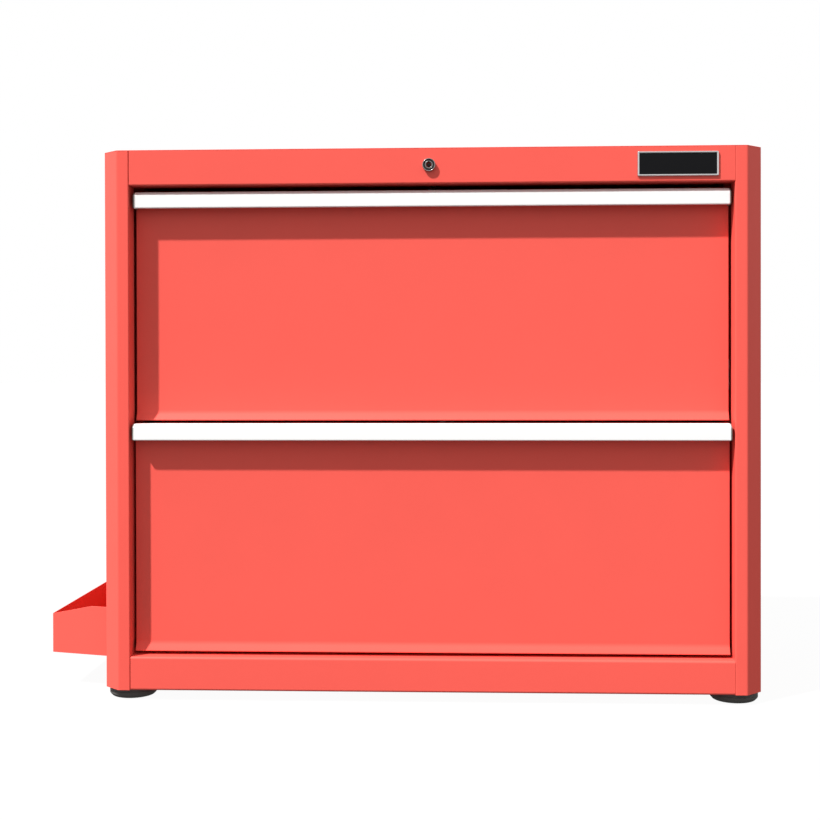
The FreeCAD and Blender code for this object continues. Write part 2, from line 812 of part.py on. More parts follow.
def rivet_lines(level):
    """Side and place along the drawer of each slide rivet."""
    return [
        (hand, f"{front} + slide_front - {drawer_out[level]} + {y}")
        for name, hand in hands
        for y in rivet_places
    ]


def make_drawer_front(drawer, level):
    """Section of the folded panel, padded across, with two side flanges behind it."""
    slant = "(lip_reach/lip_height)"
    stretch = "sqrt(1 + (lip_reach/lip_height)*(lip_reach/lip_height))"
    section = [
        ("front_flange", "front_height"),
        ("0", "front_height"),
        ("0", "lip_height"),
        ("-lip_reach", "0"),
        ("lip_return", "0"),
        ("lip_return", "front_wall"),
        (f"front_wall*{stretch} - {slant}*(lip_height - front_wall)", "front_wall"),
        ("front_wall", f"lip_height - front_wall*({stretch} - 1)/{slant}"),
        ("front_wall", "front_height - front_wall"),
        ("front_flange", "front_height - front_wall"),
    ]
    body = new_body(f"{drawer}_drawer_front")
    place(body, "-front_width/2", panel_face(level), drawer_base(level))
    sketch = new_sketch(body, "YZ_Plane")
    draw_outline(sketch, section)
    pad(body, sketch, "front_width")
    round_folds(body, "X", section[1:2] + section[3:4], "front_wall")
    round_folds(body, "X", section[2:3], "bend_radius + front_wall")
    for offset in ("0", "front_width - front_wall"):
        flange = new_sketch(body, "YZ_Plane", offset)
        draw_rectangle(
            flange,
            ("front_wall/2", "lip_height + bend_radius"),
            ("side_flange", "front_height - front_wall/2"),
        )
        pad(body, flange, "front_wall")
    keep(body)


handle_rise = "((handle_height - handle_face)/handle_slope)"
handle_stretch = f"sqrt(1 + {handle_rise}*{handle_rise})"
handle_outside = [
    ("0", "0"),
    ("0", "handle_face"),
    ("handle_slope", "handle_height"),
    ("handle_depth", "handle_height"),
]


def make_handle(drawer, level):
    """Extruded strip: face, sloping top, rear web on the panel and a grip curl below."""
    inner_slope_up = f"handle_face + {handle_rise}*handle_wall - handle_wall*{handle_stretch}"
    inner_slope_in = (
        f"(handle_height - handle_face - handle_wall + handle_wall*{handle_stretch})/{handle_rise}"
    )
    section = handle_outside + [
        ("handle_depth", "handle_height - handle_web"),
        ("handle_depth - handle_wall", "handle_height - handle_web"),
        ("handle_depth - handle_wall", "handle_height - handle_wall"),
        (inner_slope_in, "handle_height - handle_wall"),
        ("handle_wall", inner_slope_up),
        ("handle_wall", "handle_wall"),
        ("handle_curl", "handle_wall"),
        ("handle_curl", "0"),
    ]
    body = new_body(f"{drawer}_handle")
    place(
        body,
        "-front_width/2 + cap_thickness",
        f"{panel_face(level)} - handle_depth",
        f"{drawer_base(level)} + front_height - handle_height",
    )
    sketch = new_sketch(body, "YZ_Plane")
    draw_outline(sketch, section)
    pad(body, sketch, "front_width - 2*cap_thickness")
    round_folds(body, "X", section[:3], "handle_round")
    round_folds(body, "X", section[10:], "handle_curl_round")
    keep(body)


def make_handle_cap(drawer, level, name, hand):
    """Moulded plate over the open end of the handle."""
    outline = handle_outside + [("handle_depth", "0")]
    body = new_body(f"{drawer}_{name}_handle_cap")
    place(
        body,
        "-front_width/2" if hand < 0 else "front_width/2 - cap_thickness",
        f"{panel_face(level)} - handle_depth",
        f"{drawer_base(level)} + front_height - handle_height",
    )
    sketch = new_sketch(body, "YZ_Plane")
    draw_outline(sketch, outline)
    pad(body, sketch, "cap_thickness")
    round_folds(body, "X", outline[:3], "handle_round")
    keep(body)


def make_catch(drawer, level):
    """Bent plate on the back of the drawer box; the lock bar's tooth drops ahead of its lip."""
    section = [
        ("0", "-catch_foot"),
        ("catch_wall", "-catch_foot"),
        ("catch_wall", "0"),
        ("catch_reach", "0"),
        ("catch_reach", "catch_lip"),
        ("catch_reach - catch_wall", "catch_lip"),
        ("catch_reach - catch_wall", "catch_wall"),
        ("0", "catch_wall"),
    ]
    body = new_body(f"{drawer}_lock_catch")
    place(body, f"{bar_across} - catch_width/2", box_back(level), catch_shelf(level))
    sketch = new_sketch(body, "YZ_Plane")
    draw_outline(sketch, section)
    pad(body, sketch, "catch_width")
    round_folds(body, "X", section[4:6], "catch_round")
    keep(body)


def make_front_studs(drawer, level):
    """Welded studs behind the front pass through the box and carry nuts inside it."""
    face = f"({panel_face(level)} + front_wall)"
    studs = []
    for n, (x, z) in enumerate(stud_places(level), 1):
        label = f"{drawer}_front_stud_{n}"
        stud = round_bar(label + "_stud", (x, face, z), "stud_radius", "stud_length", "Y")
        nut = hexagon(label + "_nut", (x, f"{face} + box_wall", z), "stud_nut_radius", "stud_nut_height", "Y")
        studs.append(joined(label, [stud, nut]))
    keep(group(f"{drawer}_front_studs", studs))


def make_slide_rivets(drawer, level):
    """Rivets through the drawer members and the box sides, heads inside the members."""
    rivets = []
    for n, (hand, y) in enumerate(rivet_lines(level), 1):
        label = f"{drawer}_slide_rivet_{n}"
        z = f"{drawer_base(level)} + slide_level"
        inner_end = f"({box_half} - box_wall - rivet_tail)"
        seat = f"({box_half} + slide_wall)"
        outer_end = f"({seat} + rivet_head_height)"
        tail_end = f"({box_half} - box_wall)"
        low = inner_end if hand > 0 else f"-{outer_end}"
        head_low = seat if hand > 0 else f"-{outer_end}"
        tail_low = inner_end if hand > 0 else f"-{tail_end}"
        shank = round_bar(label + "_shank", (low, y, z), "rivet_radius", f"{outer_end} - {inner_end}", "X")
        head = round_bar(label + "_head", (head_low, y, z), "rivet_head_radius", "rivet_head_height", "X")
        tail = round_bar(label + "_tail", (tail_low, y, z), "rivet_head_radius", "rivet_tail", "X")
        rivets.append(joined(label, [head, shank, tail]))
    keep(group(f"{drawer}_slide_rivets", rivets))


for level, drawer in enumerate(drawer_names):
    make_drawer_box(drawer, level)
    make_drawer_front(drawer, level)
    make_handle(drawer, level)
    for name, hand in hands:
        make_handle_cap(drawer, level, name, hand)
    make_catch(drawer, level)
    make_front_studs(drawer, level)
    make_slide_rivets(drawer, level)

# Rubber feet: turned pads with a recess for the head of their bolt
foot_profile = [
    ("bolt_radius + bolt_clearance", "foot_sole + bolt_head_height"),
    ("bolt_head_radius + bolt_clearance", "foot_sole + bolt_head_height"),
    ("bolt_head_radius + bolt_clearance", "0"),
    ("foot_radius - foot_sole", "0"),
    ("foot_radius", "foot_sole"),
    ("foot_radius", "foot_height/2"),
    ("foot_top_radius", "foot_height"),
    ("bolt_radius + bolt_clearance", "foot_height"),
]
foot_names = ("front_left_foot", "rear_left_foot", "front_right_foot", "rear_right_foot")
bolts = []
nuts = []
for n, (label, (x, y)) in enumerate(zip(foot_names, foot_places), 1):
    body = new_body(label)
    place(body, x, y)
    sketch = new_sketch(body, "XZ_Plane")
    draw_outline(sketch, foot_profile)
    revolve(body, sketch)
    keep(body)
    seat = "(foot_sole + bolt_head_height)"
    head = hexagon(f"foot_bolt_head_{n}", (x, y, "foot_sole"), "bolt_head_radius", "bolt_head_height")
    shank = round_bar(f"foot_bolt_shank_{n}", (x, y, seat), "bolt_radius", "bolt_length")
    bolts.append(joined(f"foot_bolt_{n}", [head, shank]))
    blank = hexagon(f"foot_nut_blank_{n}", (x, y, f"{base} + wall"), "bolt_head_radius", "foot_nut_height")
    bore = round_bar(f"foot_nut_bore_{n}", (x, y, base), "bolt_radius + plug_clearance", "2*foot_nut_height")
    nuts.append(cut_away(f"foot_nut_{n}", blank, [bore]))
keep(group("foot_bolts", bolts))
keep(group("foot_nuts", nuts))

# Lock: a round-key cam lock in the top rail, its plug turning a shaft that runs to the back
body = new_body("lock_housing")
place(body, "lock_across", front, lock_level)
sketch = new_sketch(body, "XY_Plane")
housing_profile = [
    ("plug_radius + plug_clearance", "-lock_head_height"),
    ("lock_head_radius - plug_sunk", "-lock_head_height"),
    ("lock_head_radius", "-lock_head_height + plug_sunk"),
    ("lock_head_radius", "0"),
    ("lock_body_radius", "0"),
    ("lock_body_radius", "lock_body_length"),
    ("plug_radius + plug_clearance", "lock_body_length"),
]
draw_outline(sketch, housing_profile)
revolve(body, sketch)
keep(body)

blank = hexagon(
    "lock_nut_blank",
    ("lock_across", f"{front} + wall", lock_level),
    "lock_nut_radius",
    "lock_nut_height",
    "Y",
)
bore = round_bar(
    "lock_nut_bore",
    ("lock_across", front, lock_level),
    "lock_body_radius + hole_clearance",
    "2*lock_nut_height",
    "Y",
)
keep(cut_away("lock_nut", blank, [bore]))

body = new_body("lock_plug")
place(body, "lock_across", front, lock_level)
sketch = new_sketch(body, "XY_Plane")
plug_face = "(plug_sunk - lock_head_height)"
plug_profile = [
    ("0", plug_face),
    ("keyway_pin", plug_face),
    ("keyway_pin", f"{plug_face} + keyway_depth"),
    ("keyway_radius", f"{plug_face} + keyway_depth"),
    ("keyway_radius", plug_face),
    ("plug_radius", plug_face),
    ("plug_radius", "plug_length"),
    ("0", "plug_length"),
]
draw_outline(sketch, plug_profile)
revolve(body, sketch)
sketch = new_sketch(body, "XZ_Plane", "lock_head_height")
draw_rectangle(
    sketch,
    ("-keyway_notch/2", "(keyway_pin + keyway_radius)/2"),
    ("keyway_notch/2", "(keyway_radius + plug_radius)/2"),
)
pocket(body, sketch, "plug_sunk + keyway_depth/2")
keep(body)

shaft_start = f"({front} + plug_length)"
shaft = round_bar(
    "shaft_rod",
    ("0", "plug_length", "0"),
    "shaft_radius",
    f"{crank_back} - {shaft_start}",
    "Y",
)
crank_start = f"({crank_back} - crank_plate - {front})"
arm = block(
    "crank_arm",
    ("0", crank_start, "-crank_width/2"),
    ("crank_radius", "crank_plate", "crank_width"),
)
hub = round_bar("crank_hub", ("0", crank_start, "0"), "crank_hub_radius", "crank_plate", "Y")
boss = round_bar("crank_boss", ("crank_radius", crank_start, "0"), "crank_width/2", "crank_plate", "Y")
pin = round_bar(
    "crank_pin",
    ("crank_radius", crank_start, "0"),
    "crank_pin_radius",
    "crank_plate + bar_gap + bar_wall + crank_pin_radius",
    "Y",
)
crank = joined("lock_shaft", [shaft, arm, hub, boss, pin])
crank.Placement.Rotation = Rotation(Vector(0, 1, 0), -value("crank_rest_angle"))
place(crank, "lock_across", front, lock_level)
keep(crank)

bracket_front = f"({crank_back} - crank_plate - bracket_setback)"
plate = block(
    "bracket_plate",
    ("lock_across - bracket_width/2", bracket_front, f"{lock_level} - bracket_drop"),
    ("bracket_width", "bracket_wall", "rail_height/2 - wall + bracket_drop"),
)
flange = block(
    "bracket_flange_plate",
    ("lock_across - bracket_width/2", f"{bracket_front} - bracket_flange", f"{crown} - wall - bracket_wall"),
    ("bracket_width", "bracket_flange + bracket_wall", "bracket_wall"),
)
bore = round_bar(
    "bracket_bore",
    ("lock_across", f"{bracket_front} - bracket_wall", lock_level),
    "shaft_radius + plug_clearance",
    "3*bracket_wall",
    "Y",
)
keep(cut_away("lock_shaft_bracket", joined("bracket_bent", [plate, flange]), [bore]))


# Lock bar: an upright flat with one toothed arm for each drawer, lifted and lowered by the crank
def tooth_foot(level):
    """Lower end of a tooth, unlocked."""
    return f"({catch_shelf(level)} + catch_lip + tooth_lift)"


bar_top = f"({lock_level} + {crank_rise} + crank_pin_radius + pin_play + bar_crown)"
bar_bottom = f"({tooth_foot(0)} + tooth_height - bar_tail)"
strip = block(
    "bar_strip",
    (f"{bar_across} - bar_width/2", bar_front, bar_bottom),
    ("bar_width", "bar_wall", f"{bar_top} - {bar_bottom}"),
)
arms = [strip]
for level, drawer in enumerate(drawer_names):
    lip_face = f"({box_back(level)} + catch_reach - catch_wall)"
    tooth_back = f"({lip_face} - tooth_play)"
    tooth = block(
        f"{drawer}_tooth",
        (f"{bar_across} - tooth_width/2", f"{tooth_back} - tooth_wall", tooth_foot(level)),
        ("tooth_width", "tooth_wall", "tooth_height + tooth_wall"),
    )
    arm = block(
        f"{drawer}_tooth_arm",
        (
            f"{bar_across} - tooth_width/2",
            f"{tooth_back} - tooth_wall",
            f"{tooth_foot(level)} + tooth_height",
        ),
        ("tooth_width", f"{bar_front} + bar_wall - {tooth_back} + tooth_wall", "tooth_wall"),
    )
    arms += [tooth, arm]
slot = block(
    "bar_slot",
    (
        "lock_across + crank_radius*cos(crank_rest_angle*1 deg) - crank_pin_radius - pin_play",
        f"{bar_front} - bar_wall",
        f"{lock_level} + {crank_rise} - crank_pin_radius - pin_play",
    ),
    (
        "crank_radius*(1 - cos(crank_rest_angle*1 deg)) + 2*(crank_pin_radius + pin_play)",
        "3*bar_wall",
        "2*(crank_pin_radius + pin_play)",
    ),
)
keep(cut_away("lock_bar", joined("bar_with_arms", arms), [slot]))

guides = []
for where, guide_top in (
    ("lower", f"({tooth_foot(0)} + tooth_height - lower_guide_drop)"),
    ("upper", f"({lock_level} - upper_guide_drop)"),
):
    guide_front = f"({bar_front} - guide_play - guide_face)"
    stock = block(
        f"{where}_guide_stock",
        (f"{bar_across} - bar_width/2 - guide_side", guide_front, f"{guide_top} - guide_height"),
        ("bar_width + 2*guide_side", f"{back_inside} - {guide_front}", "guide_height"),
    )
    channel = block(
        f"{where}_guide_channel",
        (
            f"{bar_across} - bar_width/2 - guide_play",
            f"{bar_front} - guide_play",
            f"{guide_top} - 2*guide_height",
        ),
        ("bar_width + 2*guide_play", "bar_wall + 2*guide_play", "3*guide_height"),
    )
    guides.append(cut_away(f"{where}_bar_guide", stock, [channel]))
keep(group("lock_bar_guides", guides))

# Badge: a frame with a bare field, stuck on the top rail
body = new_body("badge_frame")
place(body, "badge_across", front, lock_level)
sketch = new_sketch(body, "XZ_Plane")
frame_signs = ((-1, -1), (1, -1), (1, 1), (-1, 1))
frame_corners = [(f"{a}*badge_width/2", f"{b}*badge_height/2") for a, b in frame_signs]
draw_outline(sketch, frame_corners)
draw_rectangle(
    sketch,
    ("-badge_width/2 + badge_border", "-badge_height/2 + badge_border"),
    ("badge_width/2 - badge_border", "badge_height/2 - badge_border"),
)
pad(body, sketch, "badge_thickness")
round_folds(body, "Y", frame_corners, "badge_corner")
keep(body)
keep(
    block(
        "badge_plate",
        (
            "badge_across - badge_width/2 + badge_border",
            f"{front} - badge_plate_thickness",
            f"{lock_level} - badge_height/2 + badge_border",
        ),
        ("badge_width - 2*badge_border", "badge_plate_thickness", "badge_height - 2*badge_border"),
    )
)

# Side bin: a folded tray with slanting ends, screwed to the left side
body = new_body("side_bin")
bin_near = f"({front} + bin_front)"
bin_far = f"({bin_near} + bin_length)"
bin_out = f"({side} + bin_width)"
bin_stretch = "bin_wall*sqrt(1 + (bin_slant/bin_width)*(bin_slant/bin_width))"
bin_edge_shift = "bin_slant*bin_wall/bin_width"
bin_outline = [
    (f"-{side}", bin_near),
    (f"-{bin_out}", f"{bin_near} + bin_slant"),
    (f"-{bin_out}", f"{bin_far} - bin_slant"),
    (f"-{side}", bin_far),
]
bin_inside = [
    (f"-{side} - bin_wall", f"{bin_near} + {bin_edge_shift} + {bin_stretch}"),
    (f"-{bin_out} + bin_wall", f"{bin_near} + bin_slant - {bin_edge_shift} + {bin_stretch}"),
    (f"-{bin_out} + bin_wall", f"{bin_far} - bin_slant + {bin_edge_shift} - {bin_stretch}"),
    (f"-{side} - bin_wall", f"{bin_far} - {bin_edge_shift} - {bin_stretch}"),
]
sketch = new_sketch(body, "XY_Plane", bin_floor)
draw_outline(sketch, bin_outline)
pad(body, sketch, "bin_height")
round_folds(body, "Z", bin_outline[1:3], "bend_radius + bin_wall")
sketch = new_sketch(body, "XY_Plane", f"{bin_floor} + bin_height")
draw_outline(sketch, bin_inside)
pocket(body, sketch, "bin_height - bin_wall")
round_folds(body, "Z", bin_inside[1:3], "bend_radius")
sketch = new_sketch(body, "XZ_Plane", f"-{bin_near} + bin_wall")
draw_outline(
    sketch,
    [
        (f"-{bin_out} + bin_slope_run", f"{bin_floor} + bin_height"),
        (f"-{bin_out}", f"{bin_floor} + bin_outer_height"),
        (f"-{bin_out} - bin_wall", f"{bin_floor} + bin_outer_height"),
        (f"-{bin_out} - bin_wall", f"{bin_floor} + bin_height + bin_wall"),
        (f"-{bin_out} + bin_slope_run", f"{bin_floor} + bin_height + bin_wall"),
    ],
)
pocket(body, sketch, "bin_length + 2*bin_wall")
sketch = new_sketch(body, "YZ_Plane", f"-{side} - 2*bin_wall")
for y in bin_screw_places:
    draw_circle(sketch, y, bin_screw_line, "bin_screw_radius + hole_clearance")
pocket(body, sketch, "3*bin_wall", away=True)
keep(body)

screws = []
for n, y in enumerate(bin_screw_places, 1):
    label = f"bin_screw_{n}"
    head_seat = f"(-{side} - bin_wall)"
    nut_seat = f"(-{side} + wall)"
    head = round_bar(
        label + "_head",
        (f"{head_seat} - bin_screw_head_height", y, bin_screw_line),
        "bin_screw_head_radius",
        "bin_screw_head_height",
        "X",
    )
    shank = round_bar(
        label + "_shank",
        (head_seat, y, bin_screw_line),
        "bin_screw_radius",
        "bin_wall + wall + bin_screw_nut_height + screw_tail",
        "X",
    )
    nut = hexagon(
        label + "_nut",
        (nut_seat, y, bin_screw_line),
        "bin_screw_head_radius",
        "bin_screw_nut_height",
        "X",
    )
    screws.append(joined(label, [head, shank, nut]))
keep(group("side_bin_screws", screws))

doc.recompute()

for thing in doc.Objects:
    if "Invalid" in thing.State or "Error" in thing.State:
        raise ValueError(f"{thing.Label} didn't compute: {thing.State}")
for piece in pieces:
    if piece.Shape.isNull() or not piece.Shape.isValid() or not piece.Shape.Solids:
        raise ValueError(f"{piece.Label} has no valid solid")

os.makedirs("parts", exist_ok=True)
for piece in pieces:
    piece.Shape.exportStep(f"parts/{piece.Label}.step")
print(f"{len(pieces)} pieces written")
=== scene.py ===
"""Red two-drawer tool cabinet: looks, camera and studio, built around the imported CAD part."""

import json
import math

import bmesh
import bpy
import numpy as np
from mathutils import Matrix, Vector


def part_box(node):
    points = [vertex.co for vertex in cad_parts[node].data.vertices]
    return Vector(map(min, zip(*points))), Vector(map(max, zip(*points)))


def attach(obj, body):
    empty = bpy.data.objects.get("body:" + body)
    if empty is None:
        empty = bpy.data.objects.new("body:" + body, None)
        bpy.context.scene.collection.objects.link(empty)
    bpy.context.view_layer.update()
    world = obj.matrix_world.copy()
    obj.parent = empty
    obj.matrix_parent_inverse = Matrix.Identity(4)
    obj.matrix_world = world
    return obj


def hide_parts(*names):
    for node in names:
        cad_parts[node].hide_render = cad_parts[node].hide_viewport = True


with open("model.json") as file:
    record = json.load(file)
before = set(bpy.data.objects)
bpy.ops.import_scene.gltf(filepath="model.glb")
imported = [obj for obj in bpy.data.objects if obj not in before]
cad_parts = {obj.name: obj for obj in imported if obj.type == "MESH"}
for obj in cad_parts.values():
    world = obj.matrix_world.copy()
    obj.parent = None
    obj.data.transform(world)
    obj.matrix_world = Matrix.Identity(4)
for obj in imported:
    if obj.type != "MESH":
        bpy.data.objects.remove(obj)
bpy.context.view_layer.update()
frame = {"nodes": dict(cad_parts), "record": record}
node = frame["nodes"]
scene = bpy.context.scene
scene.view_settings.view_transform = "Standard"


# Camera: where the photograph was taken from, a little above the middle of the front and turned by
# about two degrees. Its values were found from the corners, rails, handles and feet.
yaw, pitch, roll = math.radians(2.38), math.radians(0.42), math.radians(-0.111)
forward = Vector((-math.sin(yaw) * math.cos(pitch), math.cos(yaw) * math.cos(pitch), -math.sin(pitch)))
level = Vector((math.cos(yaw), math.sin(yaw), 0))
upright = level.cross(forward)
right = level * math.cos(roll) + upright * math.sin(roll)
up = upright * math.cos(roll) - level * math.sin(roll)
lens = bpy.data.cameras.new("photo_camera")
lens.sensor_width = 36
lens.lens = 57.176
lens.shift_x = -0.01162
lens.shift_y = -0.04412
camera = bpy.data.objects.new("photo_camera", lens)
scene.collection.objects.link(camera)
axes = Matrix((right, up, -forward)).transposed().to_4x4()
axes.translation = Vector((0.0608, -2.0243, 0.4663))
camera.matrix_world = axes
scene.camera = camera


# Studio: one nearly sharp sun from the upper left front, a white surround and a pale floor. The
# surround is seen and mirrored at full strength and lights at two thirds of it; the floor glows
# white to the camera and hardly at all to the cabinet.
sun = bpy.data.lights.new("sun", "SUN")
sun.energy = 5.55
sun.angle = math.radians(1.8)
sun_lamp = bpy.data.objects.new("sun", sun)
sun_lamp.rotation_mode = "QUATERNION"
sun_lamp.rotation_quaternion = Vector((1.28, 1.0, -2.04)).to_track_quat("-Z", "Y")
scene.collection.objects.link(sun_lamp)

world = bpy.data.worlds.new("surround")
world.use_nodes = True
scene.world = world
sky = world.node_tree.nodes
sky.clear()
sky_path = sky.new("ShaderNodeLightPath")
seen_or_mirrored = sky.new("ShaderNodeMath")
seen_or_mirrored.operation = "MAXIMUM"
seen_at_all = sky.new("ShaderNodeMath")
seen_at_all.operation = "MAXIMUM"
sky_strength = sky.new("ShaderNodeMapRange")
sky_strength.inputs["To Min"].default_value = 0.66
sky_strength.inputs["To Max"].default_value = 1.0
surround = sky.new("ShaderNodeBackground")
surround.inputs["Color"].default_value = (1, 1, 1, 1)
sky_out = sky.new("ShaderNodeOutputWorld")
join = world.node_tree.links.new
join(sky_path.outputs["Is Camera Ray"], seen_or_mirrored.inputs[0])
join(sky_path.outputs["Is Glossy Ray"], seen_or_mirrored.inputs[1])
join(seen_or_mirrored.outputs[0], seen_at_all.inputs[0])
join(sky_path.outputs["Is Transmission Ray"], seen_at_all.inputs[1])
join(seen_at_all.outputs[0], sky_strength.inputs["Value"])
join(sky_strength.outputs["Result"], surround.inputs["Strength"])
join(surround.outputs[0], sky_out.inputs["Surface"])

reach = 30
floor_mesh = bpy.data.meshes.new("floor")
floor_mesh.from_pydata(
    [(-reach, -reach, 0), (reach, -reach, 0), (reach, reach, 0), (-reach, reach, 0)], [], [(0, 1, 2, 3)]
)
floor = bpy.data.objects.new("floor", floor_mesh)
scene.collection.objects.link(floor)
pale = bpy.data.materials.new("pale_floor")
pale.use_nodes = True
ground = pale.node_tree.nodes
ground.clear()
ground_path = ground.new("ShaderNodeLightPath")
ground_strength = ground.new("ShaderNodeMapRange")
ground_strength.inputs["To Min"].default_value = 0.18
ground_strength.inputs["To Max"].default_value = 0.96
glow = ground.new("ShaderNodeEmission")
matt = ground.new("ShaderNodeBsdfDiffuse")
matt.inputs["Color"].default_value = (0.035, 0.035, 0.035, 1)
glow_and_matt = ground.new("ShaderNodeAddShader")
ground_out = ground.new("ShaderNodeOutputMaterial")
join = pale.node_tree.links.new
join(ground_path.outputs["Is Camera Ray"], ground_strength.inputs["Value"])
join(ground_strength.outputs["Result"], glow.inputs["Strength"])
join(glow.outputs[0], glow_and_matt.inputs[0])
join(matt.outputs[0], glow_and_matt.inputs[1])
join(glow_and_matt.outputs[0], ground_out.inputs["Surface"])
floor_mesh.materials.append(pale)


# Side panels: each one sheet of steel, folded into its rear flange, side, slanted corner, post face
# and inner flank. The powder coat on them has orange peel, fine grain, uneven gloss and small
# shifts of colour. All lengths are in millimetres from the middle of the cabinet and the floor.
def coating(
    name, colour, metallic, roughness, spread, grain, grain_height, shift, peel=0.0, mirror=0.5, stretch=()
):
    """A Principled surface: wide noise moves its colour by shift and its roughness by spread; fine
    noise of scale grain raises it by grain_height metres, and a softer one by peel metres. Mirror is how
    much of the surround it reflects at its surface, 0.5 being plain plastic. Stretch multiplies the
    place at which the fine noise is read, so a small value draws the grain out along that axis."""
    made = bpy.data.materials.new(name)
    made.use_nodes = True
    add, link = made.node_tree.nodes.new, made.node_tree.links.new
    shader = made.node_tree.nodes["Principled BSDF"]
    place = add("ShaderNodeTexCoord")
    wide = add("ShaderNodeTexNoise")
    wide.inputs["Scale"].default_value = 9
    wide.inputs["Detail"].default_value = 7
    wide.inputs["Roughness"].default_value = 0.62
    fine = add("ShaderNodeTexNoise")
    fine.inputs["Scale"].default_value = grain
    fine.inputs["Detail"].default_value = 3
    tint = add("ShaderNodeMix")
    tint.data_type = "RGBA"
    tint.inputs["A"].default_value = (*[channel * (1 - shift) for channel in colour], 1)
    tint.inputs["B"].default_value = (*[min(1, channel * (1 + shift)) for channel in colour], 1)
    gloss = add("ShaderNodeMapRange")
    gloss.inputs["To Min"].default_value = roughness - spread
    gloss.inputs["To Max"].default_value = roughness + spread
    raised = add("ShaderNodeBump")
    raised.inputs["Distance"].default_value = grain_height
    shader.inputs["Metallic"].default_value = metallic
    shader.inputs["Specular IOR Level"].default_value = mirror
    link(place.outputs["Object"], wide.inputs["Vector"])
    link(place.outputs["Object"], fine.inputs["Vector"])
    link(wide.outputs["Fac"], tint.inputs["Factor"])
    link(wide.outputs["Fac"], gloss.inputs["Value"])
    link(fine.outputs["Fac"], raised.inputs["Height"])
    link(tint.outputs["Result"], shader.inputs["Base Color"])
    link(gloss.outputs["Result"], shader.inputs["Roughness"])
    if stretch:
        lines = add("ShaderNodeMapping")
        lines.inputs["Scale"].default_value = stretch
        link(place.outputs["Object"], lines.inputs["Vector"])
        link(lines.outputs["Vector"], fine.inputs["Vector"])
    if peel:
        soft = add("ShaderNodeTexNoise")
        soft.inputs["Scale"].default_value = 240
        soft.inputs["Detail"].default_value = 1
        dimpled = add("ShaderNodeBump")
        dimpled.inputs["Distance"].default_value = peel
        link(place.outputs["Object"], soft.inputs["Vector"])
        link(soft.outputs["Fac"], dimpled.inputs["Height"])
        link(dimpled.outputs["Normal"], raised.inputs["Normal"])
    link(raised.outputs["Normal"], shader.inputs["Normal"])
    return made


def rounded(corners, steps=6):
    """Points of a closed outline. Each corner (u, v, radius) gives way to an arc that touches both of
    its sides: its centre lies on the line that halves the corner, radius / sin(half the corner) away,
    and it starts and ends radius / tan(half the corner) along the sides. No radius keeps the corner."""
    table = np.array([(*corner, 0) if len(corner) == 2 else corner for corner in corners], float)
    tip, radius = table[:, :2], table[:, 2]
    to_last, to_next = np.roll(tip, 1, 0) - tip, np.roll(tip, -1, 0) - tip
    to_last /= np.linalg.norm(to_last, axis=1)[:, None]
    to_next /= np.linalg.norm(to_next, axis=1)[:, None]
    half = np.arccos(np.clip((to_last * to_next).sum(1), -1, 1)) / 2
    halving = to_last + to_next
    halving /= np.maximum(np.linalg.norm(halving, axis=1), 1e-9)[:, None]
    centre = tip + halving * (radius / np.sin(half))[:, None]
    first = tip + to_last * (radius / np.tan(half))[:, None] - centre
    last = tip + to_next * (radius / np.tan(half))[:, None] - centre
    start = np.arctan2(first[:, 1], first[:, 0])
    sweep = np.mod(np.arctan2(last[:, 1], last[:, 0]) - start + math.pi, 2 * math.pi) - math.pi
    angle = start[:, None] + sweep[:, None] * np.linspace(0, 1, steps + 1)
    arc = centre[:, None] + radius[:, None, None] * np.stack([np.cos(angle), np.sin(angle)], 2)
    kept = np.ones(arc.shape[:2], bool)
    kept[radius == 0, 1:] = False
    return arc[kept]


def wrapped(rows, around, closed=False, start=0):
    """Four-sided faces of a skin of rows, each a ring of around points that are numbered on from
    start: a point, the next in its ring, and the same two in the next row. Closed also joins the
    last row to the first."""
    here = np.arange(around)
    beside = np.roll(here, -1)
    row = (np.arange(rows if closed else rows - 1) * around)[:, None]
    ahead = (row + around) % (rows * around)
    return start + np.stack([here + row, beside + row, beside + ahead, here + ahead], 2).reshape(-1, 4)


def capped(rows, around, start=0):
    """The same skin, with its first and its last ring each filled by one face."""
    ends = start + np.array([[0], [(rows - 1) * around]]) + np.arange(around)
    return wrapped(rows, around, start=start).tolist() + ends.tolist()


def shape(name, points, faces, material):
    """A smooth mesh from points in millimetres, its faces turned outwards."""
    mesh = bpy.data.meshes.new(name)
    mesh.from_pydata((np.asarray(points).reshape(-1, 3) * 0.001).tolist(), [], faces)
    work = bmesh.new()
    work.from_mesh(mesh)
    bmesh.ops.recalc_face_normals(work, faces=work.faces)
    work.to_mesh(mesh)
    work.free()
    mesh.polygons.foreach_set("use_smooth", np.ones(len(mesh.polygons), bool))
    mesh.materials.append(material)
    made = bpy.data.objects.new(name, mesh)
    scene.collection.objects.link(made)
    return made


def drawn(name, parts, axis, material):
    """Closed outlines, each (points, start, end), carried straight along an axis from start to end
    and filled at both ends; the outline's two coordinates are the other two axes, in their order."""
    across = [k for k in range(3) if k != axis]
    points, faces, count = [], [], 0
    for outline, start, end in parts:
        around = len(outline)
        rings = np.zeros((2, around, 3))
        rings[..., across] = outline
        rings[0, :, axis], rings[1, :, axis] = start, end
        faces += capped(2, around, count)
        points.append(rings.reshape(-1, 3))
        count += 2 * around
    return shape(name, np.concatenate(points), faces, material)


